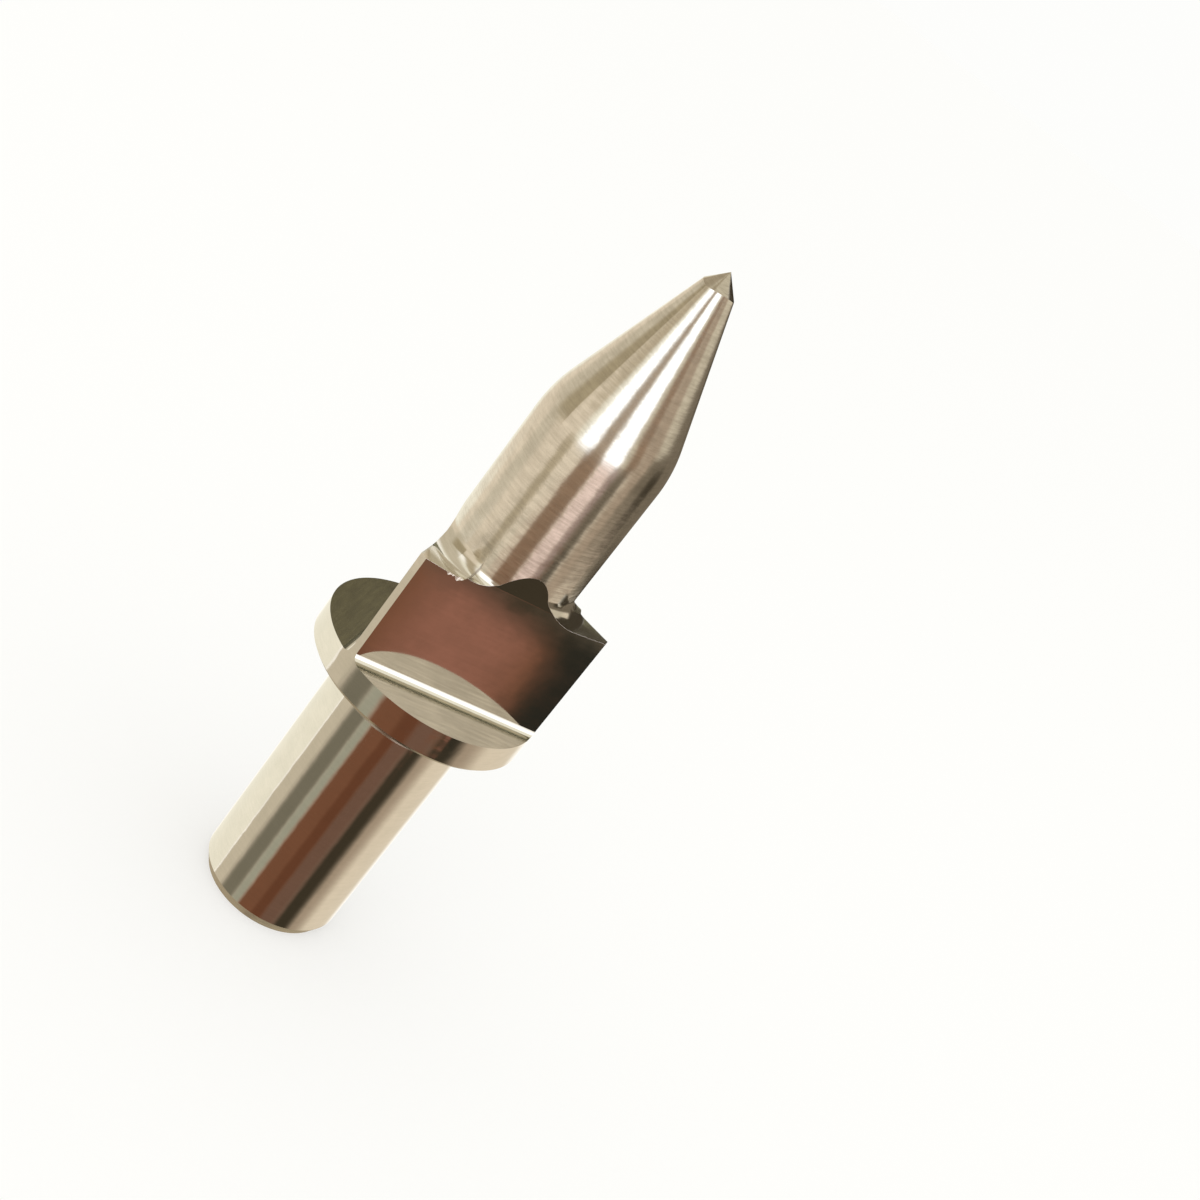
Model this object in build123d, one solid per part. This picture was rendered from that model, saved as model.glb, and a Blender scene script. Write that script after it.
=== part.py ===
"""Flow drill bit: a thermal friction drill, ground from one rod of cemented carbide.

The bit stands on the flat end of its shank. The origin is the centre of that end face and +Z
runs up the axis to the point. One of the three flats of the head faces -Y.

From the shank up: a plain round shank, a tapered grinding relief at its root, a round collar,
a head with three flats ground down from the collar's diameter, a hollow shoulder, a forming
body of three shallow lobes, a long forming cone and a short centring point.
"""
from build123d import *
import math
import os

# Shank, in millimetres
SHANK_DIAMETER = 10.0
SHANK_LENGTH = 19.0
SHANK_END_BEVEL_DEPTH = 0.4
SHANK_END_BEVEL_LENGTH = 0.75
RELIEF_DEPTH = 0.15
RELIEF_LENGTH = 1.6

# Collar
COLLAR_DIAMETER = 15.6
COLLAR_THICKNESS = 2.2
COLLAR_REAR_BEVEL = 0.25

# Head with its flats
HEAD_LENGTH = 8.3
FLAT_COUNT = 3
FLAT_DISTANCE = 4.13
FLAT_ROOT_RADIUS = 0.7
FLAT_RUNOUT_START = 8.6
FLAT_RUNOUT_ANGLE = 11.5
FLAT_RUNOUT_RADIUS = 4.0

# Forming body and cone
BODY_DIAMETER_OVER_LOBES = 9.2
BODY_LENGTH = 19.45
LOBE_COUNT = 3
LOBE_OFFSET = 0.19
SHOULDER_RADIUS = 1.25
SHOULDER_DISH_ANGLE = 7.0
CONE_HALF_ANGLE = 18.0
CONE_BLEND_RADIUS = 10.0

# Centring point
POINT_DIAMETER = 2.45
POINT_HALF_ANGLE = 42.7

# Heights and radii that follow from the dimensions
SHANK_RADIUS = SHANK_DIAMETER / 2
COLLAR_RADIUS = COLLAR_DIAMETER / 2
POINT_RADIUS = POINT_DIAMETER / 2
STEP_Z = SHANK_LENGTH + COLLAR_THICKNESS
SHOULDER_RIM_Z = STEP_Z + HEAD_LENGTH
CONE_START_Z = STEP_Z + BODY_LENGTH
DISH_SLOPE = math.tan(math.radians(SHOULDER_DISH_ANGLE))
CONE_SLOPE = math.tan(math.radians(CONE_HALF_ANGLE))
POINT_SLOPE = math.tan(math.radians(POINT_HALF_ANGLE))

# A lobe's face is an arc about an axis that is set back from the bit's own axis. The lobes
# meet half a lobe away from the middle of each face, at the full body diameter.
HALF_LOBE = math.radians(180 / LOBE_COUNT)
RIDGE_RADIUS = BODY_DIAMETER_OVER_LOBES / 2
LOBE_FACE_RADIUS = math.hypot(
    RIDGE_RADIUS * math.sin(HALF_LOBE),
    RIDGE_RADIUS * math.cos(HALF_LOBE) + LOBE_OFFSET,
)
CONE_APEX_Z = CONE_START_Z + LOBE_FACE_RADIUS / CONE_SLOPE
POINT_BASE_Z = CONE_START_Z + (RIDGE_RADIUS - POINT_RADIUS) / CONE_SLOPE
POINT_APEX_Z = POINT_BASE_Z + POINT_RADIUS / POINT_SLOPE

# The front flat, and with it the middle of the first lobe, faces -Y
FRONT_ANGLE = -90.0
CLEARANCE = 2.0


def revolved(*edges):
    """Turn a closed outline of radius and height about the Z axis."""
    return revolve(Plane.XZ * make_face(Curve() + list(edges)), Axis.Z)


def turned_blank():
    """The rod after turning: shank, relief, collar and the cone of the centring point."""
    point_cone_z = POINT_APEX_Z - COLLAR_RADIUS / POINT_SLOPE
    outline = Polyline(
        (0, 0),
        (SHANK_RADIUS - SHANK_END_BEVEL_DEPTH, 0),
        (SHANK_RADIUS, SHANK_END_BEVEL_LENGTH),
        (SHANK_RADIUS, SHANK_LENGTH - RELIEF_LENGTH),
        (SHANK_RADIUS - RELIEF_DEPTH, SHANK_LENGTH),
        (COLLAR_RADIUS - COLLAR_REAR_BEVEL, SHANK_LENGTH),
        (COLLAR_RADIUS, SHANK_LENGTH + COLLAR_REAR_BEVEL),
        (COLLAR_RADIUS, point_cone_z),
        (0, POINT_APEX_Z),
        (0, 0),
    )
    return revolved(outline)


def lobe_envelope():
    """The shape that the wheel leaves when it grinds one lobe right round its own axis."""
    outer_radius = COLLAR_RADIUS + CLEARANCE
    outer_z = SHOULDER_RIM_Z + CLEARANCE * DISH_SLOPE
    inner_z = SHOULDER_RIM_Z - (COLLAR_RADIUS - LOBE_FACE_RADIUS) * DISH_SLOPE
    ground_line = FilletPolyline(
        (outer_radius, outer_z),
        (LOBE_FACE_RADIUS, inner_z),
        (LOBE_FACE_RADIUS, CONE_START_Z),
        (0, CONE_APEX_Z),
        radius=[SHOULDER_RADIUS, CONE_BLEND_RADIUS],
    )
    core = Polyline((0, CONE_APEX_Z), (0, 0), (outer_radius, 0), (outer_radius, outer_z))
    return revolved(ground_line, core)


def lobe_sector():
    """The ground form between two ridges, its lobe facing +X."""
    reach = COLLAR_RADIUS + CLEARANCE
    half_width = reach * math.tan(HALF_LOBE)
    wedge = make_face(Polyline((0, 0), (reach, -half_width), (reach, half_width), (0, 0)))
    return extrude(wedge, amount=POINT_APEX_Z) & (Pos(-LOBE_OFFSET, 0, 0) * lobe_envelope())


def lobed_form():
    """Forming body and cone: equal lobes that meet along the ridges between them."""
    sector = lobe_sector()
    angles = [FRONT_ANGLE + index * 360 / LOBE_COUNT for index in range(LOBE_COUNT)]
    return Part() + [Rot(0, 0, angle) * sector for angle in angles]


def flat_cutter():
    """What the wheel removes over one flat, facing +X: root radius, face and shallow run-out."""
    runout_slope = math.tan(math.radians(FLAT_RUNOUT_ANGLE))
    outer = COLLAR_RADIUS + CLEARANCE
    runout_end = RIDGE_RADIUS + CLEARANCE
    runout_z = STEP_Z + FLAT_RUNOUT_START
    runout_end_z = runout_z + (runout_end - FLAT_DISTANCE) / runout_slope
    wheel_line = FilletPolyline(
        (outer, STEP_Z),
        (FLAT_DISTANCE, STEP_Z),
        (FLAT_DISTANCE, runout_z),
        (runout_end, runout_end_z),
        radius=[FLAT_ROOT_RADIUS, FLAT_RUNOUT_RADIUS],
    )
    back = Polyline((runout_end, runout_end_z), (outer, runout_end_z), (outer, STEP_Z))
    profile = Plane.XZ * make_face(Curve() + [wheel_line, back])
    return extrude(profile, amount=outer, both=True)


def flow_drill_bit():
    """The finished bit: the turned blank, its ground lobes and its ground flats."""
    bit = turned_blank() & lobed_form()
    cutter = flat_cutter()
    for index in range(FLAT_COUNT):
        angle = FRONT_ANGLE + index * 360 / FLAT_COUNT
        bit -= Rot(0, 0, angle) * cutter
    return bit


def main():
    """Build the bit and write its STEP file."""
    os.makedirs("parts", exist_ok=True)
    bit = flow_drill_bit()
    export_step(bit, "parts/flow_drill_bit.step")


if __name__ == "__main__":
    main()
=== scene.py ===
"""Flow drill bit: the finished surface of the ground rod, and the studio that it stands in.

Sizes are in millimetres and angles in degrees until the mesh is written, which is in metres.
The bit stands on its shank end, the origin is the centre of that end and +Z runs to the point.
"""

import logging
import math
from collections.abc import Mapping, Sequence
from dataclasses import dataclass, field, replace
from enum import Enum

import bpy
import numpy as np
from mathutils import Matrix, Vector


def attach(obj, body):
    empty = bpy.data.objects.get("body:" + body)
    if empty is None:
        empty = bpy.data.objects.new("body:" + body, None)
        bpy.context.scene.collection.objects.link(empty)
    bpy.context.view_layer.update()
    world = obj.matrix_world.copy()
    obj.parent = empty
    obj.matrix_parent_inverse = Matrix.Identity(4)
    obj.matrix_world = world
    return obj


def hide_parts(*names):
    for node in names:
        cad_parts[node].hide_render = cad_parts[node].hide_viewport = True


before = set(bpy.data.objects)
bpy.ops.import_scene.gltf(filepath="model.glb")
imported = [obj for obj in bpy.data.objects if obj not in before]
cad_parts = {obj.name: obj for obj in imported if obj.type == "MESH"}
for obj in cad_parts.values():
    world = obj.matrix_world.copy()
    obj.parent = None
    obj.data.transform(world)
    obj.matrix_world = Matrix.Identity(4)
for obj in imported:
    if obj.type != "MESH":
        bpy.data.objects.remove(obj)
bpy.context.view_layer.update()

LOG = logging.getLogger("flow_drill_bit")
MM = 0.001
GRINDING_MAP = "grinding"
NODE_KIND = "ShaderNode"
ARC_POINTS = 41
SAMPLES = 8001
WELD_DIGITS = 4
TINY = 1e-12

Grid = np.ndarray
Colour = tuple[float, float, float]
Socket = bpy.types.NodeSocket
Value = float | Colour | Socket


def linear(value: int) -> float:
    """Undo the display curve of a channel that goes from 0 to 255."""
    share = value / 255
    return share / 12.92 if share <= 0.04045 else ((share + 0.055) / 1.055) ** 2.4


def unit(ways: Grid) -> Grid:
    """Bring each vector to a length of one."""
    return ways / np.maximum(np.linalg.norm(ways, axis=-1, keepdims=True), TINY)


def vectors(*parts: Grid) -> Grid:
    """Set three parts side by side as vectors."""
    return np.stack(np.broadcast_arrays(*parts), axis=-1)


class Outline:
    """A ground line of distance from the axis and height, with its outward normals."""

    def __init__(self, corners: Sequence[tuple[float, float]], radii: Sequence[float] = ()) -> None:
        """Round the inner corners and sample the line.

        Args:
            corners: Distance and height of each corner, with the metal on the left of the way.
            radii: The radius of each inner corner.
        """
        points = np.array(corners, float)
        ways = unit(np.diff(points, axis=0))
        places, facings, joins = [points[0]], [self.facing(ways[0])], []
        for corner, radius, before, after in zip(points[1:-1], radii, ways[:-1], ways[1:]):
            turn = math.atan2(before[0] * after[1] - before[1] * after[0], float(before @ after))
            start = corner - before * radius * math.tan(abs(turn) / 2)
            side = math.copysign(1.0, turn)
            middle = start - side * radius * self.facing(before)
            joins.append(len(places))
            for part in np.linspace(0, turn, ARC_POINTS):
                way = before * math.cos(part) - self.facing(before) * math.sin(part)
                places.append(middle + side * radius * self.facing(way))
                facings.append(self.facing(way))
            joins.append(len(places) - 1)
        places.append(points[-1])
        facings.append(self.facing(ways[-1]))
        self.places = np.array(places)
        self.table = np.hstack([self.places, facings])
        steps = np.linalg.norm(np.diff(self.places, axis=0), axis=1)
        self.along = np.concatenate([[0.0], np.cumsum(steps)])
        self.length = float(self.along[-1])
        self.joins: list[float] = [float(self.along[join]) for join in joins]

    @staticmethod
    def facing(way: Grid) -> Grid:
        """Give the outward side of a way along the line."""
        return np.array([way[1], -way[0]])

    def at(self, along: Grid) -> tuple[Grid, ...]:
        """Read the line.

        Args:
            along: How far along the line, in any shape.

        Returns:
            Distance, height, and the two parts of the normal.
        """
        return tuple(np.interp(along, self.along, column) for column in self.table.T)


class Face:
    """A face of the bit, read on rays from the bit's own axis."""

    def locate(self, along: Grid, bearings: Grid) -> tuple[Grid, Grid]:
        """Give radius and height.

        Args:
            along: How far along the face's outline.
            bearings: Angle of each ray from the middle of the flat, in radians.

        Returns:
            Radii and heights.
        """
        raise NotImplementedError

    def normals(self, along: Grid, bearings: Grid) -> Grid:
        """Give the outward normals.

        Args:
            along: How far along the face's outline.
            bearings: Angle of each ray from the middle of the flat, in radians.

        Returns:
            The normals: toward the flat's own facing, aside and up.
        """
        raise NotImplementedError


@dataclass(frozen=True)
class TurnedFace(Face):
    """A face that the wheel leaves by going round an axis, which may be set back a little."""

    outline: Outline
    set_back: float = 0.0

    def locate(self, along: Grid, bearings: Grid) -> tuple[Grid, Grid]:
        """Give radius and height.

        Args:
            along: How far along the outline.
            bearings: Angle of each ray about the bit's own axis, in radians.

        Returns:
            Radii from the bit's own axis, and heights.
        """
        distance, height, _, _ = self.outline.at(along)
        aside = self.set_back * np.sin(bearings)
        reach = np.sqrt(np.maximum(distance ** 2 - aside ** 2, 0.0))
        return reach - self.set_back * np.cos(bearings), height + 0 * bearings

    def normals(self, along: Grid, bearings: Grid) -> Grid:
        """Give the outward normals, which lean out from the axis that the wheel went round.

        Args:
            along: How far along the outline.
            bearings: Angle of each ray about the bit's own axis, in radians.

        Returns:
            The normals.
        """
        radius, _ = self.locate(along, bearings)
        _, _, out, up = self.outline.at(along)
        turn = np.arctan2(radius * np.sin(bearings), radius * np.cos(bearings) + self.set_back)
        if self.set_back == 0:
            turn = bearings
        return vectors(out * np.cos(turn), out * np.sin(turn), up)


@dataclass(frozen=True)
class PlanedFace(Face):
    """A face that the wheel leaves by running straight across a flat."""

    outline: Outline

    def locate(self, along: Grid, bearings: Grid) -> tuple[Grid, Grid]:
        """Give radius and height, as Face says."""
        distance, height, _, _ = self.outline.at(along)
        return distance / np.cos(bearings), height + 0 * bearings

    def normals(self, along: Grid, bearings: Grid) -> Grid:
        """Give the outward normals, as Face says."""
        _, _, out, up = self.outline.at(along)
        return vectors(out, 0 * bearings, up)


@dataclass(frozen=True)
class RootFace(PlanedFace):
    """The root of a flat, as a worn wheel leaves it.

    Its facings, in degrees above the flat's own, stop short of the flat, so that the root's
    upper edge shows crisp.
    """

    start: float
    stop: float
    shares: tuple[float, ...] = (0.0, 0.28, 0.69, 1.0)
    tilts: tuple[float, ...] = (90.0, 73.0, 38.0, 30.0)

    def normals(self, along: Grid, bearings: Grid) -> Grid:
        """Give the outward normals, as Face says."""
        tilt = np.interp((along - self.start) / (self.stop - self.start), self.shares, self.tilts)
        return vectors(np.cos(np.radians(tilt)), 0 * bearings, np.sin(np.radians(tilt)))


@dataclass(frozen=True)
class MixedFace(Face):
    """A face that passes from one turned face into another, from column to column.

    The second one is read at places of its own along its outline.
    """

    first: TurnedFace
    second: TurnedFace
    places: Grid
    share: Grid

    def locate(self, along: Grid, bearings: Grid) -> tuple[Grid, Grid]:
        """Give radius and height, as Face says."""
        faces = self.first.locate(along, bearings), self.second.locate(self.places, bearings)
        return tuple(here + (there - here) * self.share for here, there in zip(*faces))

    def normals(self, along: Grid, bearings: Grid) -> Grid:
        """Give the outward normals, which pass from one face's to the other's."""
        first = self.first.normals(along, bearings)
        return unit(first + (self.second.normals(self.places, bearings) - first) * self.share[..., None])


@dataclass(frozen=True)
class BrokenFace(Face):
    """A narrow face from one line of points to the next."""

    radii: Grid
    heights: Grid

    def locate(self, along: Grid, bearings: Grid) -> tuple[Grid, Grid]:
        """Give the points as they are."""
        return self.radii, self.heights

    def normals(self, along: Grid, bearings: Grid) -> Grid:
        """Give the outward normals, from each point to the next ones."""
        places = vectors(self.radii * np.cos(bearings), self.radii * np.sin(bearings),
                         self.heights)
        return unit(np.cross(np.gradient(places, axis=1), np.gradient(places, axis=0)))


@dataclass(frozen=True)
class CarbideFinish:
    """One finish of the bare carbide, from the wheel that made it.

    The scratches run across the bit's axis, the way that the wheel went over the face. Pitches,
    lengths, sizes and heights are in millimetres.
    """

    name: str
    colour: Colour
    stain: Colour
    roughness: float
    scratch_pitch: float
    scratch_height: float
    wave_size: float
    wave_height: float
    roughness_spread: float = 0.02
    anisotropy: float = 0.3
    streaks: float = 0.4
    scratch_length: float = 1.2
    scratch_range: tuple[float, float] = (0.36, 0.64)
    cloud_size: float = 1.6
    cloud_range: tuple[float, float] = (0.35, 0.65)
    cloud_detail: float = 4.0
    wave_detail: float = 1.5
    anisotropy_turn: float = 0.25

    def material(self) -> bpy.types.Material:
        """Build the finish as a node material.

        Returns:
            The material.
        """
        made = bpy.data.materials.new(self.name)
        made.use_nodes = True
        tree = Wiring(made.node_tree)
        place = tree.add("TexCoord", output="Object")
        scratch = self.scratches(tree, place)
        wave = self.clouds(tree, place, self.wave_size, self.wave_detail)
        cloud = self.clouds(tree, place, self.cloud_size, self.cloud_detail)
        mottle = tree.remap(cloud, *self.cloud_range, 0.0, 1.0 - self.streaks)
        streak = tree.remap(scratch, *self.scratch_range, 0.0, self.streaks)
        share = tree.add("Math", {0: mottle, 1: streak}, operation="ADD")
        rough = tree.remap(share, 0.0, 1.0, self.roughness - self.roughness_spread,
                           self.roughness + self.roughness_spread)
        coarse = tree.add("Bump", {"Distance": self.wave_height * MM, "Height": wave})
        fine = tree.add("Bump", {"Distance": self.scratch_height * MM, "Height": scratch,
                                 "Normal": coarse})
        tree.end("OutputMaterial", tree.add("BsdfPrincipled", {
            "Base Color": tree.mix(share, self.colour, self.stain), "Metallic": 1.0,
            "Roughness": rough, "Normal": fine, "Anisotropic": self.anisotropy,
            "Anisotropic Rotation": self.anisotropy_turn,
            "Tangent": tree.add("Tangent", direction_type="UV_MAP", uv_map=GRINDING_MAP)}))
        return made

    @staticmethod
    def clouds(tree: "Wiring", place: Socket, size: float, detail: float) -> Socket:
        """Add noise that is the same size each way.

        Args:
            tree: The material's nodes.
            place: The object coordinates.
            size: Size of its clouds, in millimetres.
            detail: Octaves of the noise.

        Returns:
            The noise.
        """
        return tree.add("TexNoise", {"Scale": 1 / (size * MM), "Detail": detail,
                                     "Roughness": 0.6, "Vector": place}, "Fac")

    def scratches(self, tree: "Wiring", place: Socket) -> Socket:
        """Add noise drawn out into long scratches along the wheel's way.

        Args:
            tree: The material's nodes.
            place: The object coordinates.

        Returns:
            The noise.
        """
        spot = tree.add("SeparateXYZ", {"Vector": place}).node.outputs
        grinding = tree.add("UVMap", uv_map=GRINDING_MAP)
        across = tree.add("SeparateXYZ", {"Vector": grinding}, "Y")
        slow = 1 / (self.scratch_length * MM)
        vector = tree.add("VectorMath", {
            0: tree.add("CombineXYZ", {"X": spot["X"], "Y": spot["Y"], "Z": across}),
            1: (slow, slow, 1 / self.scratch_pitch)}, operation="MULTIPLY")
        return tree.add("TexNoise", {"Scale": 1.0, "Detail": 3.0, "Roughness": 0.55,
                                     "Vector": vector}, "Fac")


class Wiring:
    """A node tree, empty at first, whose calls add a node and give one of its outputs."""

    def __init__(self, tree: bpy.types.NodeTree) -> None:
        """Hold the tree and take out the nodes that are there."""
        self.tree = tree
        tree.nodes.clear()

    def add(self, kind: str, values: Mapping[str | int, Value] | None = None,
            output: str | int = 0, **settings: str) -> Socket:
        """Add a node.

        Args:
            kind: Blender's name of the node type, after the part that all have.
            values: What its inputs get, by name or index: a value or another node's output.
            output: Name or index of the output that is wanted.
            settings: The node's own settings.

        Returns:
            That output.
        """
        node = self.tree.nodes.new(NODE_KIND + kind)
        for setting, choice in settings.items():
            setattr(node, setting, choice)
        for key, value in (values or {}).items():
            entry = node.inputs[key]
            if isinstance(value, bpy.types.NodeSocket):
                self.tree.links.new(value, entry)
            else:
                entry.default_value = (*value, 1.0) if entry.type == "RGBA" else value
        return node.outputs[output]

    def end(self, kind: str, surface: Socket) -> None:
        """Add the node that the tree ends in, and give it the surface."""
        node = self.tree.nodes.new(NODE_KIND + kind)
        self.tree.links.new(surface, node.inputs["Surface"])

    def remap(self, value: Socket, low: float, high: float, new_low: float, new_high: float,
              ease: str = "LINEAR") -> Socket:
        """Add a clamped change of the range low to high into new_low to new_high."""
        return self.add("MapRange", {"Value": value, 1: low, 2: high, 3: new_low, 4: new_high},
                        interpolation_type=ease)

    def mix(self, share: Socket, first: Value, second: Value) -> Socket:
        """Add a mix of two colours, where share says how much of the second there is."""
        return self.add("Mix", {0: share, 6: first, 7: second}, 2, data_type="RGBA")


@dataclass(frozen=True)
class Strip:
    """Some columns of a band, all on one face and in one finish."""

    face: Face
    along: Grid
    finish: CarbideFinish
    columns: slice = field(default_factory=lambda: slice(None))


@dataclass(frozen=True)
class Skin:
    """What the mesh needs of a strip: where its cells are, their normals, map and finish."""

    first_row: int
    first_column: int
    normals: Grid
    grinding: Grid
    finish: CarbideFinish


class PolarGrid:
    """Rows of points over one third of the bit, from the middle of the shank end to the point."""

    def __init__(self, bearings: Grid, facing: float) -> None:
        """Start with the middle of the end face.

        Args:
            bearings: Angle of each column from the middle of the third's flat, in radians.
            facing: Where that flat faces, in degrees.
        """
        self.bearings = bearings
        self.turn = math.radians(facing)
        self.radii = [np.zeros(len(bearings))]
        self.heights = [np.zeros(len(bearings))]
        self.skins: list[Skin] = []

    def trace(self, strips: Sequence[Strip]) -> tuple[Grid, Grid]:
        """Work out where the points of a band are.

        Args:
            strips: The band's strips, side by side.

        Returns:
            Radii and heights.
        """
        rows = strips[0].along.shape[0]
        radii = np.empty((rows, len(self.bearings)))
        heights = np.empty((rows, len(self.bearings)))
        for strip in strips:
            radii[:, strip.columns], heights[:, strip.columns] = strip.face.locate(
                strip.along, self.bearings[strip.columns])
        return radii, heights

    def lay(self, *strips: Strip) -> None:
        """Add a band, whose first row is the last one that is there.

        Args:
            strips: The band's strips, side by side.
        """
        radii, heights = self.trace(strips)
        for strip in strips:
            bearings = self.bearings[strip.columns]
            grinding = np.stack([0 * strip.along + bearings + self.turn, strip.along], axis=-1)
            first_column = strip.columns.indices(len(self.bearings))[0]
            self.skins.append(Skin(len(self.radii) - 1, first_column,
                                   strip.face.normals(strip.along, bearings), grinding,
                                   strip.finish))
        self.radii.extend(radii[1:])
        self.heights.extend(heights[1:])

    def turned(self, corners: Sequence[tuple[float, float]],
               finishes: Sequence[CarbideFinish], rows: Sequence[int]) -> None:
        """Add a band for each straight line from corner to corner.

        Args:
            corners: Distance and height of each corner.
            finishes: The finish of each band.
            rows: Rows of cells in each band.
        """
        for low, high, finish, count in zip(corners[:-1], corners[1:], finishes, rows):
            outline = Outline((low, high))
            along = np.linspace(0, outline.length, count + 1)[:, None] + 0 * self.bearings
            self.lay(Strip(TurnedFace(outline), along, finish))

    def broken_edge(self, strips: Sequence[Strip], finish: CarbideFinish) -> None:
        """Add the narrow face from the last row to where the next band starts.

        Args:
            strips: The strips of the next band.
            finish: The finish of the broken edge.
        """
        radii, heights = self.trace(strips)
        face = BrokenFace(np.array([self.radii[-1], radii[0]]),
                          np.array([self.heights[-1], heights[0]]))
        width = np.hypot(radii[0] - self.radii[-1], heights[0] - self.heights[-1])
        self.lay(Strip(face, np.array([0 * width, width]), finish))

    def corners(self) -> tuple[Grid, Grid, Grid, list[CarbideFinish]]:
        """Give the four corners of every cell.

        Returns:
            Place, normal and map place of each corner, and the finish of each cell.
        """
        around = self.bearings + self.turn
        radii, heights = np.array(self.radii), np.array(self.heights)
        points = vectors(radii * np.cos(around), radii * np.sin(around), heights)
        cosine, sine = math.cos(self.turn), math.sin(self.turn)
        turned = np.array([[cosine, sine, 0], [-sine, cosine, 0], [0, 0, 1]])
        places, normals, grinding, finishes = [], [], [], []
        for skin in self.skins:
            rows, wide = skin.normals.shape[:2]
            row, column = np.mgrid[0:rows - 1, 0:wide - 1]
            down = np.stack([row, row, row + 1, row + 1], -1).reshape(-1, 4)
            over = np.stack([column, column + 1, column + 1, column], -1).reshape(-1, 4)
            places.append(points[down + skin.first_row, over + skin.first_column])
            normals.append(skin.normals[down, over] @ turned)
            grinding.append(skin.grinding[down, over])
            finishes += [skin.finish] * len(down)
        return (np.concatenate(places), np.concatenate(normals), np.concatenate(grinding),
                finishes)


def weld(name: str, grids: Sequence[PolarGrid]) -> bpy.types.Mesh:
    """Join thirds into one closed mesh, without the cells that have no area.

    Args:
        name: The mesh's name.
        grids: The thirds.

    Returns:
        The mesh, in metres, with its normals, grinding map and finishes.
    """
    thirds = [grid.corners() for grid in grids]
    places, normals, grinding = (np.concatenate([third[part] for third in thirds])
                                 for part in range(3))
    looks = [finish for third in thirds for finish in third[3]]
    points, ids = np.unique(np.round(places.reshape(-1, 3), WELD_DIGITS), axis=0,
                            return_inverse=True)
    ids = ids.reshape(-1, 4)
    fresh = ids != np.roll(ids, 1, axis=1)
    kept = fresh & (fresh.sum(1) >= 3)[:, None]
    sizes = kept.sum(1)
    used, order = np.unique(ids[kept], return_inverse=True)
    ends = np.cumsum(sizes[sizes > 0])[:-1]
    polygons = [part.tolist() for part in np.split(order.ravel(), ends)]
    finishes = list(dict.fromkeys(looks))
    numbers = {finish: number for number, finish in enumerate(finishes)}
    mesh = bpy.data.meshes.new(name)
    mesh.from_pydata((points[used] * MM).tolist(), [], polygons)
    mesh.polygons.foreach_set("use_smooth", [True] * len(polygons))
    mesh.polygons.foreach_set("material_index",
                              [numbers[look] for look, size in zip(looks, sizes) if size])
    for finish in finishes:
        mesh.materials.append(finish.material())
    layer = mesh.uv_layers.new(name=GRINDING_MAP)
    layer.data.foreach_set("uv", grinding[kept].astype(np.float32).ravel())
    mesh.update()
    mesh.normals_split_custom_set(normals[kept].tolist())
    return mesh


def linked(name: str, data: bpy.types.ID) -> bpy.types.Object:
    """Make an object and link it to the scene.

    Args:
        name: Its name.
        data: Its mesh, lamp or camera.

    Returns:
        The object.
    """
    made = bpy.data.objects.new(name, data)
    bpy.context.scene.collection.objects.link(made)
    return made


def spread(start: Grid, stop: Grid, joins: Sequence[float], counts: Sequence[int]) -> Grid:
    """Spread rows from start to stop so that rows fall on the joins between them.

    Args:
        start: Where each column starts along the outline.
        stop: Where each column stops.
        joins: Places along the outline that get a row.
        counts: Rows of cells before each join and after the last.

    Returns:
        How far along the outline each row is, for each column.
    """
    marks = [start, *[np.clip(join, start, stop) for join in joins], stop]
    rows = [start]
    for low, high, count in zip(marks[:-1], marks[1:], counts):
        rows += [low + (high - low) * step / count for step in range(1, count + 1)]
    return np.array(rows)


def first_inside(along: Grid, outside: Grid) -> Grid:
    """Find where each column first gets inside.

    Args:
        along: Places along an outline, rising.
        outside: For each place and column, a measure that is above zero outside.

    Returns:
        The place along the outline for each column.
    """
    index = np.maximum(np.argmax(outside <= 0, axis=0), 1)
    columns = np.arange(outside.shape[1])
    before, after = outside[index - 1, columns], outside[index, columns]
    step = np.clip(before / np.where(before == after, 1, before - after), 0, 1)
    return along[index - 1] + (along[index] - along[index - 1]) * step


CARBIDE = (0.800, 0.765, 0.700)

GROUND_SHANK = CarbideFinish(
    "ground_shank", (0.83, 0.79, 0.72), (0.76, 0.73, 0.66), roughness=0.08, scratch_pitch=0.16,
    scratch_height=0.0005, wave_size=1.3, wave_height=0.008)
GROUND_COLLAR = replace(GROUND_SHANK, name="ground_collar", scratch_height=0.0006, wave_size=1.2)
# Rougher than the ground faces, and darker in colour as painted shade: it stands for the shade under the
# collar on the relief and in the crease of the shoulder's ledge.
DULL_RELIEF_AND_SHADE = CarbideFinish(
    "dull_relief_and_shade", (0.54, 0.50, 0.44), (0.42, 0.38, 0.33), roughness=0.28, scratch_pitch=0.10,
    scratch_height=0.0020, wave_size=0.8, wave_height=0.006, roughness_spread=0.06,
    anisotropy=0.4)
TURNED_END = CarbideFinish(
    "turned_end", (0.72, 0.68, 0.61), (0.58, 0.54, 0.47), roughness=0.24, scratch_pitch=0.12,
    scratch_height=0.0025, wave_size=1.0, wave_height=0.004, roughness_spread=0.06,
    anisotropy=0.5)
# The wheel-faced finish of the step. Its colour is darkened well below the carbide's as a painted dark
# reflection, and it is also laid in the root next to the painted dark line.
WHEEL_FACED_STEP_PAINTED_REFLECTION = CarbideFinish(
    "wheel_faced_step_painted_reflection", (0.52, 0.47, 0.375), (0.39, 0.35, 0.275), roughness=0.14,
    scratch_pitch=0.20, scratch_height=0.0014, wave_size=1.4, wave_height=0.006,
    roughness_spread=0.03, anisotropy=0.4, streaks=0.6, scratch_length=2.5)
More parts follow.
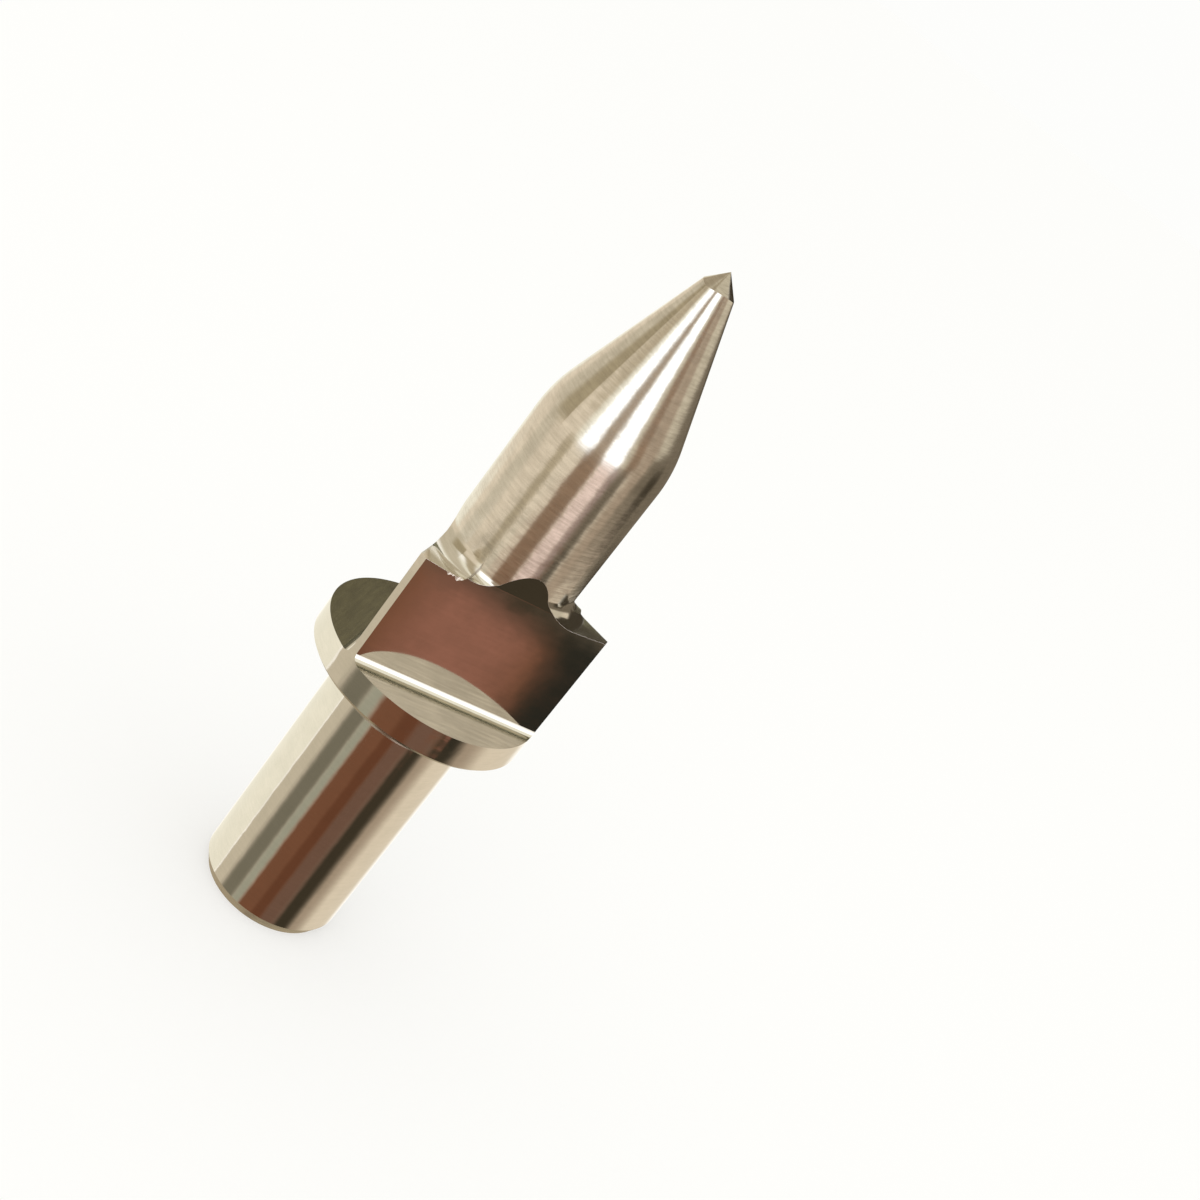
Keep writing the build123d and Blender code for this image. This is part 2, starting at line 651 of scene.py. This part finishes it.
# Painted shade: the dark line in the root of a flat, next to the step, is this darker colour. It stands
# for a dark reflection there, since the root's shape has no groove.
PAINTED_ROOT_SHADE = CarbideFinish(
    "painted_root_shade", (0.36, 0.34, 0.25), (0.26, 0.245, 0.175), roughness=0.25, scratch_pitch=0.1,
    scratch_height=0.0005, wave_size=1.4, wave_height=0.003, roughness_spread=0.05)
GROUND_ROOT = CarbideFinish(
    "ground_root", (0.83, 0.80, 0.74), (0.76, 0.73, 0.67), roughness=0.12, scratch_pitch=0.10,
    scratch_height=0.0004, wave_size=1.4, wave_height=0.004, scratch_length=3.0)
LAPPED_FLAT = CarbideFinish(
    "lapped_flat", (0.815, 0.78, 0.715), (0.765, 0.73, 0.665), roughness=0.06,
    scratch_pitch=0.22, scratch_height=0.00006, wave_size=2.2, wave_height=0.002,
    anisotropy=0.2, streaks=0.25, scratch_length=3.0)
SATIN_BODY = CarbideFinish(
    "satin_body", (0.90, 0.865, 0.80), (0.69, 0.655, 0.59), roughness=0.15, scratch_pitch=0.17,
    scratch_height=0.0024, wave_size=1.0, wave_height=0.011, roughness_spread=0.03,
    anisotropy=0.4, streaks=0.5, scratch_length=1.5, cloud_size=1.1)
CALM_SHOULDER = CarbideFinish(
    "calm_shoulder", (0.83, 0.80, 0.73), (0.73, 0.70, 0.63), roughness=0.12, scratch_pitch=0.17,
    scratch_height=0.0010, wave_size=1.0, wave_height=0.006, streaks=0.6, scratch_length=1.5)
# The point is rougher than the body, and its darker colour is a painted dark reflection.
DULL_POINT_PAINTED_REFLECTION = CarbideFinish(
    "dull_point_painted_reflection", (0.58, 0.525, 0.44), (0.43, 0.38, 0.305), roughness=0.20, scratch_pitch=0.13,
    scratch_height=0.0030, wave_size=0.6, wave_height=0.010, roughness_spread=0.05, streaks=0.6,
    scratch_length=0.8)
# The broken edge and its chips are real. Their colour, brighter and pinker than the carbide, is a
# painted glint along the edge.
BROKEN_EDGE_AND_GLINT = CarbideFinish(
    "broken_edge", (0.93, 0.86, 0.82), (0.74, 0.66, 0.62), roughness=0.42, scratch_pitch=0.08,
    scratch_height=0.0040, wave_size=0.15, wave_height=0.02, roughness_spread=0.1,
    anisotropy=0.0)


@dataclass(frozen=True)
class Shank:
    """The plain round shank with its bevelled end and the tapered relief at its root."""

    radius: float = 5.0
    length: float = 19.0
    end_bevel_depth: float = 0.4
    end_bevel_length: float = 0.75
    relief_depth: float = 0.15
    relief_length: float = 1.6
    rows: tuple[int, ...] = (3, 1, 6, 2)

    def lay(self, grid: PolarGrid) -> None:
        """Add the end face, bevel, shank and relief.

        Args:
            grid: The third of the bit that they go to.
        """
        corners = ((0, 0), (self.radius - self.end_bevel_depth, 0),
                   (self.radius, self.end_bevel_length),
                   (self.radius, self.length - self.relief_length),
                   (self.radius - self.relief_depth, self.length))
        # The relief's darker finish is partly painted shade under the collar.
        grid.turned(corners, (TURNED_END, TURNED_END, GROUND_SHANK, DULL_RELIEF_AND_SHADE), self.rows)
        LOG.info("shank: %.1f mm round, %.1f mm long", 2 * self.radius, self.length)


@dataclass(frozen=True)
class Collar:
    """The round collar behind the head."""

    shank: Shank
    radius: float = 7.8
    thickness: float = 2.2
    rear_bevel: float = 0.25
    rows: tuple[int, ...] = (2, 1)

    @property
    def step_height(self) -> float:
        """Height of the face in front of the collar."""
        return self.shank.length + self.thickness

    def lay(self, grid: PolarGrid) -> None:
        """Add the collar's rear face and rear bevel; its wall goes on up the head.

        Args:
            grid: The third of the bit that they go to.
        """
        low = self.shank.length
        corners = ((self.shank.radius - self.shank.relief_depth, low),
                   (self.radius - self.rear_bevel, low), (self.radius, low + self.rear_bevel))
        grid.turned(corners, (TURNED_END, TURNED_END), self.rows)
        LOG.info("collar: %.1f mm round, %.1f mm thick", 2 * self.radius, self.thickness)


@dataclass(frozen=True)
class FormingBody:
    """Hollow shoulder, forming body of shallow lobes, and the long cone."""

    collar: Collar
    head_length: float = 8.3
    diameter_over_lobes: float = 9.2
    length: float = 19.45
    lobes: int = 3
    lobe_offset: float = 0.19
    shoulder_radius: float = 1.25
    shoulder_dish: float = 7.0
    cone_half_angle: float = 18.0
    cone_blend_radius: float = 10.0
    clearance: float = 2.0
    ledge_rise: float = 0.26
    ledge_radius: float = 0.65
    ledge_start: float = -43.0
    ledge_wall: float = 1.2
    ledge_stop: float = -4.0
    rows: tuple[int, ...] = (3, 12, 6, 12, 8)
    shoulder_rows: int = 15

    @property
    def face_radius(self) -> float:
        """Radius of a lobe's face about its own axis."""
        half_lobe, ridge = math.radians(180 / self.lobes), self.diameter_over_lobes / 2
        return math.hypot(ridge * math.sin(half_lobe),
                          ridge * math.cos(half_lobe) + self.lobe_offset)

    @property
    def cone_start(self) -> float:
        """Height where the cone would start without its blend."""
        return self.collar.step_height + self.length

    @property
    def cone_tip(self) -> float:
        """Height where the cone would end without the centring point."""
        return self.cone_start + self.face_radius / math.tan(math.radians(self.cone_half_angle))

    def face(self, raised: bool = False) -> TurnedFace:
        """Give the face that the wheel leaves, from outside the shoulder's rim to the cone's tip.

        Args:
            raised: Whether it is the raised ledge of the shoulder, beside a flat's run-out.

        Returns:
            The face.
        """
        dish = math.tan(math.radians(self.shoulder_dish))
        rim = self.collar.step_height + self.head_length + (self.ledge_rise if raised else 0.0)
        outer = self.collar.radius + self.clearance
        inner_height = rim - (self.collar.radius - self.face_radius) * dish
        outline = Outline([
            (outer, rim + self.clearance * dish), (self.face_radius, inner_height),
            (self.face_radius, self.cone_start), (0, self.cone_tip),
        ], [self.ledge_radius if raised else self.shoulder_radius, self.cone_blend_radius])
        return TurnedFace(outline, self.lobe_offset)

    def ledge_share(self, bearings: Grid) -> Grid:
        """Say how far the ledge has risen.

        Args:
            bearings: The columns' bearings, in radians.

        Returns:
            For each column the share of the ledge's rise, from 0 to 1.
        """
        degrees = np.degrees(bearings)
        share = np.clip((degrees - self.ledge_start) / self.ledge_wall, 0.0, 1.0)
        return np.where(degrees > self.ledge_stop, 0.0, share)

    def edge_height(self, head: "Head", bearings: Grid) -> Grid:
        """Say where the body starts.

        Args:
            head: The head that it stands on.
            bearings: The columns' bearings, in radians.

        Returns:
            The height at which each column leaves the head.
        """
        plain, raised = (face.locate(head.leaves(face, bearings), bearings)[1]
                         for face in (self.face(), self.face(raised=True)))
        return plain + (raised - plain) * self.ledge_share(bearings)

    def bands(self, bearings: Grid, head: "Head", point: "CentringPoint",
              worn: Grid) -> list[list[Strip]]:
        """Give the shoulder with its fillet, then the body and the cone.

        Args:
            bearings: The columns' bearings, in radians.
            head: The head that it stands on.
            point: The point that it carries.
            worn: How much of the head's upper edge is broken away at each column.

        Returns:
            For each band the plain strips, the ledge and the ledge's wall.
        """
        face, raised = self.face(), self.face(raised=True)
        rows = []
        for each in (face, raised):
            start = head.leaves(each, bearings) + worn
            stop, _ = point.meets(self, each, bearings)
            rows.append(spread(start, stop, each.outline.joins, self.rows))
        share = self.ledge_share(bearings)
        foot = int(np.flatnonzero(share > 0)[0]) - 1
        crest, last = np.flatnonzero(share >= 1)[[0, -1]]
        before, wall = slice(0, foot + 1), slice(foot, crest + 1)
        ledge, after = slice(crest, last + 1), slice(last, None)
        shoulder, body = slice(0, self.shoulder_rows + 1), slice(self.shoulder_rows, None)
        bands = []
        # On the shoulder, the ledge's wall gets the darker relief finish as a painted shade line along
        # the crease, since its normals pass smoothly from face to face.
        for part, finish, wall_finish in ((shoulder, CALM_SHOULDER, DULL_RELIEF_AND_SHADE),
                                          (body, SATIN_BODY, SATIN_BODY)):
            plain, high = rows[0][part], rows[1][part]
            mixed = MixedFace(face, raised, high[:, wall], share[wall])
            bands.append([Strip(face, plain[:, before], finish, before),
                          Strip(face, plain[:, after], finish, after),
                          Strip(raised, high[:, ledge], finish, ledge),
                          Strip(mixed, plain[:, wall], wall_finish, wall)])
        return bands


@dataclass(frozen=True)
class Head:
    """The three flats ground down from the collar's diameter, with root radius and run-out."""

    collar: Collar
    flats: int = 3
    flat_distance: float = 4.13
    root_radius: float = 0.52
    runout_start: float = 8.6
    runout_angle: float = 11.5
    runout_radius: float = 0.25
    runout_reach: float = 2.5
    # Shares of the root between which it gets the painted dark line.
    root_shade_band: tuple[float, float] = (0.22, 0.44)
    above_step: float = 0.01
    dense_shares: tuple[float, float] = (0.04, 0.26)
    dense_bearings: tuple[float, float] = (-54.0, -40.0)
    wall_spare: float = 1.0
    wall_rows: int = 3
    rows: tuple[tuple[int, ...], ...] = ((6,), (4,), (3,), (8,), (6, 4, 6))

    def face(self) -> PlanedFace:
        """Give the face of a flat.

        Returns:
            The face, from the step over root radius and flat to the shallow run-out.
        """
        step = self.collar.step_height
        runout = step + self.runout_start
        rise = self.runout_reach / math.tan(math.radians(self.runout_angle))
        outline = Outline([
            (self.collar.radius, step), (self.flat_distance, step), (self.flat_distance, runout),
            (self.flat_distance + self.runout_reach, runout + rise),
        ], [self.root_radius, self.runout_radius])
        return PlanedFace(outline)

    def bearings(self, columns: int) -> Grid:
        """Spread columns over a third of a turn, closest where edges are chipped.

        Some of them are set on the corners of the head.

        Args:
            columns: How many columns of cells.

        Returns:
            The bearings in radians.
        """
        limit = 180 / self.flats
        degrees = np.interp(np.linspace(0, 1, columns + 1), (0, *self.dense_shares, 1),
                            (-limit, *self.dense_bearings, limit))
        bearings = np.radians(degrees)
        for distance in (self.flat_distance, self.flat_distance + self.root_radius):
            corner = math.acos(distance / self.collar.radius)
            for bearing in (-corner, corner):
                bearings[np.argmin(np.abs(bearings - bearing))] = bearing
        return bearings

    def leaves(self, body_face: TurnedFace, bearings: Grid) -> Grid:
        """Find where the head ends and the forming body starts.

        Args:
            body_face: A face of the forming body.
            bearings: The columns' bearings, in radians.

        Returns:
            The place along that face for each column.
        """
        samples = np.linspace(0, body_face.outline.length, SAMPLES)[:, None]
        radii, heights = body_face.locate(samples, bearings)
        line = self.face().outline.places
        above = line[line[:, 1] > self.collar.step_height + self.above_step]
        limit = np.interp(heights, above[:, 1], above[:, 0])
        outside = np.maximum(radii * np.cos(bearings) - limit, radii - self.collar.radius)
        return first_inside(samples[:, 0], outside)

    def lay(self, grid: PolarGrid, top: Grid) -> None:
        """Add the collar's wall, the step, the flat and the lands between flats to the grid.

        Args:
            grid: The grid.
            top: The height at which each column ends.
        """
        bearings, radius = grid.bearings, self.collar.radius
        face = self.face()
        root_start, root_end, *runout = face.outline.joins
        fine = np.linspace(0, face.outline.length, SAMPLES)
        distance, height, _, _ = face.outline.at(fine)
        at_wall = first_inside(fine, distance[:, None] - radius * np.cos(bearings))
        flat = np.flatnonzero(np.abs(bearings) <= math.acos(self.flat_distance / radius) + TINY)
        left, right = slice(0, flat[0] + 1), slice(flat[-1], None)
        middle = slice(flat[0], flat[-1] + 1)
        at_top = np.interp(top, height[fine >= root_end], fine[fine >= root_end])
        start = np.clip(at_wall, 0, root_end)
        start[:flat[0]] = start[flat[-1] + 1:] = root_end
        wall_top = np.interp(start, fine, height)

        low = self.collar.shank.length + self.collar.rear_bevel
        wall = TurnedFace(Outline([(radius, low), (radius, float(top.max()) + self.wall_spare)]))
        along = spread(0 * bearings, wall_top - low, (), (self.wall_rows,))
        grid.lay(Strip(wall, along, GROUND_COLLAR))
        root = RootFace(face.outline, root_start, root_end)
        marks = [start, *[np.maximum(start, root_start + (root_end - root_start) * place)
                          for place in (0.0, *self.root_shade_band, 1.0)], np.maximum(at_top, root_end)]
        # Bands up the flat: the step, the painted dark line in the root, the darker step finish on into
        # the root as painted reflection, the ground root, and the flat.
        bands = ((face, (), WHEEL_FACED_STEP_PAINTED_REFLECTION), (root, (), PAINTED_ROOT_SHADE),
                 (root, (), WHEEL_FACED_STEP_PAINTED_REFLECTION), (root, (), GROUND_ROOT),
                 (face, runout, LAPPED_FLAT))
        for begin, end, counts, band in zip(marks[:-1], marks[1:], self.rows, bands):
            band_face, joins, finish = band
            along = spread(begin, end, joins, counts)
            rise = 0 * along[:, [flat[0]]]
            if finish is LAPPED_FLAT:
                on_edge = face.outline.at(along[:, [flat[0]]])[1]
                rise = (on_edge - on_edge[0]) / (on_edge[-1] - on_edge[0])
            lands = [Strip(wall, wall_top[side] - low + (top - wall_top)[side] * rise,
                           GROUND_COLLAR, side) for side in (left, right)]
            grid.lay(*lands, Strip(band_face, along[:, middle], finish, middle))


@dataclass(frozen=True)
class Chip:
    """A place where the carbide has broken away from the upper edge of a flat."""

    along_edge: float
    width: float
    depth: float


@dataclass(frozen=True)
class UpperEdge:
    """The upper edge of one flat: a hair's breadth blunt, and chipped in places."""

    chips: tuple[Chip, ...] = ()
    blunt: float = 0.008

    def worn(self, bearings: Grid, flat_distance: float) -> Grid:
        """Say how much is broken away.

        Args:
            bearings: The columns' bearings, in radians.
            flat_distance: How far the flat is from the axis.

        Returns:
            The depth at each column, in millimetres.
        """
        place = flat_distance * np.tan(bearings)
        depth = self.blunt + 0 * bearings
        for chip in self.chips:
            share = np.clip(1 - np.abs(place - chip.along_edge) * 2 / chip.width, 0, 1)
            depth = np.maximum(depth, chip.depth * np.sqrt(share))
        return depth


@dataclass(frozen=True)
class CentringPoint:
    """The short blunt cone that starts the hole."""

    diameter: float = 2.45
    half_angle: float = 42.7
    search_from: float = 0.6
    rows: int = 6

    def face(self, body: FormingBody) -> TurnedFace:
        """Give the point's face.

        Args:
            body: The forming body that it stands on.

        Returns:
            The face, from outside the long cone to the tip.
        """
        ridge = body.diameter_over_lobes / 2
        slope = math.tan(math.radians(body.cone_half_angle))
        base = body.cone_start + (ridge - self.diameter / 2) / slope
        steep = math.tan(math.radians(self.half_angle))
        tip = base + self.diameter / 2 / steep
        return TurnedFace(Outline([(self.diameter, tip - self.diameter / steep), (0, tip)]))

    def meets(self, body: FormingBody, long_face: TurnedFace,
              bearings: Grid) -> tuple[Grid, Grid]:
        """Find where the long cone and the point's cone meet.

        Args:
            body: The forming body.
            long_face: The body's face.
            bearings: The columns' bearings in radians.

        Returns:
            Places along the body's face and along the point's face.
        """
        short_face = self.face(body)
        length = long_face.outline.length
        samples = np.linspace(length * self.search_from, length, SAMPLES)
        radii, heights = long_face.locate(samples[:, None], bearings)
        places = short_face.outline.places
        tip, base = places[-1, 1], places[0, 1]
        limit = places[0, 0] * (tip - heights) / (tip - base)
        leave = first_inside(samples, limit - radii)
        _, height = long_face.locate(leave, bearings)
        return leave, short_face.outline.length * (height - base) / (tip - base)

    def lay(self, grid: PolarGrid, body: FormingBody) -> None:
        """Add the point to the grid.

        Args:
            grid: The grid.
            body: The forming body that it stands on.
        """
        face = self.face(body)
        _, start = self.meets(body, body.face(), grid.bearings)
        along = spread(start, face.outline.length + 0 * start, (), (self.rows,))
        # The point's finish carries a painted dark reflection.
        grid.lay(Strip(face, along, DULL_POINT_PAINTED_REFLECTION))


FRONT_CHIPS = (Chip(-4.88, 0.34, 0.17), Chip(-4.60, 0.24, 0.10), Chip(-4.22, 0.44, 0.24),
               Chip(-3.98, 0.22, 0.10))


@dataclass(frozen=True)
class FlowDrillBit:
    """The whole bit, one closed piece, from three thirds with a flat each."""

    facings: tuple[float, float, float] = (-90.0, 30.0, 150.0)
    edges: tuple[UpperEdge, UpperEdge, UpperEdge] = (
        UpperEdge(FRONT_CHIPS), UpperEdge(), UpperEdge())
    columns: int = 240

    def third(self, facing: float, edge: UpperEdge) -> PolarGrid:
        """Make one third of the bit.

        Args:
            facing: Where its flat faces, in degrees.
            edge: The upper edge of its flat.

        Returns:
            The third's points.
        """
        shank = Shank()
        collar = Collar(shank)
        head, body, point = Head(collar), FormingBody(collar), CentringPoint()
        grid = PolarGrid(head.bearings(self.columns), facing)
        worn = edge.worn(grid.bearings, head.flat_distance)
        shank.lay(grid)
        collar.lay(grid)
        head.lay(grid, body.edge_height(head, grid.bearings) - worn)
        bands = body.bands(grid.bearings, head, point, worn)
        # The broken edge's finish carries a painted glint.
        grid.broken_edge(bands[0], BROKEN_EDGE_AND_GLINT)
        for band in bands:
            grid.lay(*band)
        point.lay(grid, body)
        LOG.info("third facing %.0f degrees: %d rows", facing, len(grid.radii))
        return grid

    def build(self) -> None:
        """Make the bit's mesh, set it in the frame and let it stand for the CAD node."""
        thirds = [self.third(facing, edge) for facing, edge in zip(self.facings, self.edges)]
        mesh = weld("ground_bit", thirds)
        piece = linked("ground_bit", mesh)
        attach(piece, "root")
        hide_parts("flow_drill_bit")
        LOG.info("bit: %d faces, %d finishes", len(mesh.polygons), len(mesh.materials))


def mirrored(red: int, green: int, blue: int, level: float = 1.0) -> Colour:
    """Give the light of a card that polished carbide shows as a colour.

    Args:
        red: Red from 0 to 255.
        green: Green from 0 to 255.
        blue: Blue from 0 to 255.
        level: How many times as bright the light is.

    Returns:
        The linear colour.
    """
    return tuple(linear(value) * level / metal
                 for value, metal in zip((red, green, blue), CARBIDE))


class Paint(Enum):
    """What the cards round the bit are painted with."""

    WINDOW = mirrored(255, 253, 248, 1.3)
    IVORY = mirrored(245, 237, 221)
    CREAM = mirrored(230, 222, 199)
    LINEN = mirrored(211, 195, 169)
    SAND = mirrored(189, 176, 151)
    DOVE = mirrored(170, 154, 125)
    STRAW = mirrored(156, 141, 111)
    CLAY = mirrored(158, 139, 116)
    PINK = mirrored(224, 199, 182)
    MAUVE = mirrored(152, 131, 118)
    STONE = mirrored(152, 148, 127)
    PEBBLE = mirrored(112, 105, 87)
    UMBER = mirrored(136, 111, 87)
    EARTH = mirrored(108, 96, 78)
    OLIVE = mirrored(122, 116, 90)
    RUST = mirrored(112, 73, 51)
    RED_BROWN = mirrored(141, 94, 75)
    CHESTNUT = mirrored(106, 78, 62)
    BARK = mirrored(98, 60, 40)
    SOOT = mirrored(58, 50, 37)
    COAL = mirrored(37, 36, 29)


@dataclass(frozen=True)
class Card:
    """An upright card beside the bit, that its polished metal mirrors.

    It goes from one facing to another, in degrees, and fades out over its soft edges.
    """

    paint: Paint
    start: float
    stop: float
    soft: float


@dataclass(frozen=True)
class Tier:
    """Cards at one height, over the plain paint behind them."""

    name: str
    top: float
    soft: float
    plain: Paint
    cards: tuple[Card, ...]


@dataclass(frozen=True)
class Surroundings:
    """The world: white to the eye and to matt faces, cards round the bit to polished ones."""

    tiers: tuple[Tier, ...]
    white: Colour = (0.985, 0.985, 0.968)

    def build(self) -> None:
        """Make the world's nodes."""
        world = bpy.data.worlds.new("studio")
        bpy.context.scene.world = world
        world.use_nodes = True
        tree = Wiring(world.node_tree)
        place = tree.add("TexCoord", output="Generated")
        level = tree.add("VectorMath", {0: place, 1: (1.0, 1.0, 0.0)}, operation="MULTIPLY")
        way = tree.add("VectorMath", {0: level}, operation="NORMALIZE")
        height = tree.add("SeparateXYZ", {"Vector": place}, "Z")
        colour = self.tier(tree, self.tiers[0], way)
        for below, tier in zip(self.tiers[:-1], self.tiers[1:]):
            low, high = (math.sin(math.radians(below.top + soft))
                         for soft in (-below.soft, below.soft))
            share = tree.remap(height, low, high, 0.0, 1.0, "SMOOTHSTEP")
            colour = tree.mix(share, colour, self.tier(tree, tier, way))
        tree.end("OutputWorld", tree.add("MixShader", {
            0: tree.add("LightPath", output="Is Glossy Ray"),
            1: tree.add("Background", {"Color": self.white}),
            2: tree.add("Background", {"Color": colour})}))
        LOG.info("surroundings: %s", ", ".join(tier.name for tier in self.tiers))

    @staticmethod
    def tier(tree: Wiring, tier: Tier, way: Socket) -> Value:
        """Lay a tier's cards over its plain colour.

        Args:
            tree: The world's nodes.
            tier: The tier.
            way: The level direction of each ray.

        Returns:
            The colour.
        """
        colour: Value = tier.plain.value
        for card in tier.cards:
            angle = math.radians((card.start + card.stop) / 2)
            middle = (math.cos(angle), math.sin(angle), 0.0)
            toward = tree.add("VectorMath", {0: way, 1: middle}, "Value",
                              operation="DOT_PRODUCT")
            half = (card.stop - card.start) / 2
            outer = math.cos(math.radians(half + card.soft))
            inner = math.cos(math.radians(max(half - card.soft, 0)))
            share = tree.remap(toward, outer, inner, 0.0, 1.0, "SMOOTHSTEP")
            colour = tree.mix(share, colour, card.paint.value)
        return colour


SHANK_CARDS = (
    Card(Paint.CLAY, -75, -28, 16), Card(Paint.CREAM, 60, 160, 0.8), Card(Paint.IVORY, 42, 76, 16),
    Card(Paint.SAND, 160, 183, 1.2), Card(Paint.IVORY, 159.0, 161.0, 0.6),
    Card(Paint.PEBBLE, -174, -148, 7), Card(Paint.STONE, -147, -136, 4),
    Card(Paint.SOOT, -72, -47, 8), Card(Paint.CHESTNUT, -97, -71, 6),
    Card(Paint.RUST, -135, -96, 4), Card(Paint.BARK, -109, -94, 4),
)
BODY_CARDS = (
    Card(Paint.CREAM, 62, 120, 6), Card(Paint.SAND, 140, 160, 8), Card(Paint.DOVE, -159, -148, 4),
    Card(Paint.PINK, -96, -76, 4), Card(Paint.UMBER, -123.5, -98.5, 3),
    Card(Paint.MAUVE, -75, -66, 4), Card(Paint.EARTH, -66, -53, 5), Card(Paint.CLAY, -47, -27, 7),
)
CONE_CARDS = (
    Card(Paint.SAND, 117, 150, 7), Card(Paint.STRAW, 147, 178, 8), Card(Paint.CREAM, 58, 88, 8),
    Card(Paint.SOOT, 27, 62, 4), Card(Paint.CREAM, -149, -124, 6),
    Card(Paint.WINDOW, -140, -120.5, 5), Card(Paint.CLAY, -118, -103, 3),
    Card(Paint.WINDOW, -99.5, -73, 4), Card(Paint.SAND, -71, -64, 4),
    Card(Paint.UMBER, -63, -47, 5), Card(Paint.CLAY, -46, -22, 8), Card(Paint.SAND, -22, 10, 8),
)
HIGH_CARDS = (
    Card(Paint.SAND, 100, 165, 12), Card(Paint.DOVE, -172, -152, 6), Card(Paint.SOOT, 4, 63, 5),
    Card(Paint.OLIVE, 64, 82, 1),
)
STUDIO_TIERS = (
    Tier("table", -40.0, 3.0, Paint.DOVE, (
        Card(Paint.CHESTNUT, -138, -80, 12), Card(Paint.SOOT, -84, -30, 8))),
    Tier("shank", -28.6, 0.8, Paint.LINEN, SHANK_CARDS),
    Tier("door", -24.2, 0.45, Paint.LINEN, (
        *SHANK_CARDS, Card(Paint.RUST, -80, -60.0, 0.6), Card(Paint.COAL, -59.9, -50, 0.7),
        Card(Paint.RED_BROWN, -64.3, -61.8, 1.8))),
    Tier("lintel", -22.9, 0.3, Paint.LINEN, (
        *BODY_CARDS, Card(Paint.SOOT, -66, -50, 1.5), Card(Paint.COAL, -60, -50, 1.5))),
    Tier("body_low", -20.6, 1.3, Paint.LINEN, (
        *BODY_CARDS, Card(Paint.CLAY, -36, 10, 4), Card(Paint.EARTH, 6, 22, 5),
        Card(Paint.SOOT, 16, 58, 5))),
    Tier("body", -6.0, 4.5, Paint.LINEN, (
        *BODY_CARDS, Card(Paint.LINEN, 94, 128, 6), Card(Paint.EARTH, -32, 58, 5),
        Card(Paint.SOOT, -9, 2, 8))),
    Tier("brow", 3.5, 2.5, Paint.LINEN, (*CONE_CARDS, Card(Paint.EARTH, -28, 30, 6))),
    Tier("cone", 17.0, 1.5, Paint.LINEN, CONE_CARDS),
    Tier("beam", 24.5, 1.0, Paint.DOVE, (*CONE_CARDS, Card(Paint.SOOT, 10, 82, 4))),
    Tier("shelf", 31.0, 1.0, Paint.IVORY, (
        Card(Paint.WINDOW, -141, -76, 4), Card(Paint.CLAY, -113, -104, 3), *HIGH_CARDS)),
    Tier("upper", 45.0, 3.0, Paint.IVORY, (
        Card(Paint.WINDOW, -141, -42, 5), Card(Paint.CLAY, -113, -104, 3), *HIGH_CARDS)),
    Tier("ceiling", 90.0, 5.0, Paint.CREAM, (*HIGH_CARDS[:2], Card(Paint.OLIVE, 2, 65, 10))),
)


@dataclass(frozen=True)
class Floor:
    """The plain pale floor under the bit, with a share of its own light so that shadows stay faint."""

    reach: float = 3.0
    colour: Colour = (0.95, 0.945, 0.925)
    own_light: Colour = (1.035, 1.035, 1.02)
    own_share: float = 0.5

    def build(self) -> None:
        """Make the floor, which mirrors do not see."""
        reach = self.reach
        mesh = bpy.data.meshes.new("floor")
        mesh.from_pydata([(-reach, -reach, 0), (reach, -reach, 0), (reach, reach, 0),
                          (-reach, reach, 0)], [], [range(4)])
        material = bpy.data.materials.new("pale_floor")
        material.use_nodes = True
        tree = Wiring(material.node_tree)
        matt = tree.add("BsdfDiffuse", {"Color": self.colour})
        glow = tree.add("Emission", {"Color": self.own_light})
        tree.end("OutputMaterial", tree.add("MixShader", {0: self.own_share, 1: matt, 2: glow}))
        mesh.materials.append(material)
        floor = linked("floor", mesh)
        floor.visible_glossy = False
        LOG.info("floor")


@dataclass(frozen=True)
class SoftBox:
    """A soft lamp that the metal does not mirror."""

    azimuth: float = -130.0
    elevation: float = 42.0
    distance: float = 0.45
    aim: float = 0.02
    size: float = 0.22
    power: float = 0.12

    def build(self) -> None:
        """Make the lamp and point it at the lower half of the bit."""
        light = bpy.data.lights.new("soft_box", "AREA")
        light.size = self.size
        light.energy = self.power
        lamp = linked("soft_box", light)
        turn, tilt = math.radians(self.azimuth), math.radians(self.elevation)
        back = Vector((math.cos(turn) * math.cos(tilt), math.sin(turn) * math.cos(tilt),
                       math.sin(tilt)))
        lamp.location = Vector((0, 0, self.aim)) + back * self.distance
        lamp.rotation_mode = "QUATERNION"
        lamp.rotation_quaternion = (-back).to_track_quat("-Z", "Y")
        lamp.visible_glossy = False
        LOG.info("soft box")


@dataclass(frozen=True)
class StudioCamera:
    """The camera at the photograph's place."""

    place: tuple[float, float, float] = (-43.779, -87.260, 70.609)
    right: tuple[float, float, float] = (0.79374, -0.19156, 0.57730)
    up: tuple[float, float, float] = (-0.39244, 0.56386, 0.72667)
    lens: float = 51.0
    sensor: float = 36.0
    clip: tuple[float, float] = (0.005, 20.0)

    def build(self) -> None:
        """Make the camera and give it to the scene."""
        data = bpy.data.cameras.new("camera")
        data.lens = self.lens
        data.sensor_width = self.sensor
        data.clip_start, data.clip_end = self.clip
        camera = linked("camera", data)
        right, up = Vector(self.right).normalized(), Vector(self.up).normalized()
        back = right.cross(up).normalized()
        up = back.cross(right)
        turned = Matrix((right, up, back)).transposed().to_4x4()
        turned.translation = Vector(self.place) * MM
        camera.matrix_world = turned
        bpy.context.scene.camera = camera
        LOG.info("camera")


def main() -> None:
    """Build the bit and its studio."""
    logging.basicConfig(level=logging.INFO, format="%(message)s")
    bpy.context.scene.view_settings.view_transform = "Standard"
    StudioCamera().build()
    FlowDrillBit().build()
    Floor().build()
    SoftBox().build()
    Surroundings(tiers=STUDIO_TIERS).build()


if __name__ == "__main__":
    main()
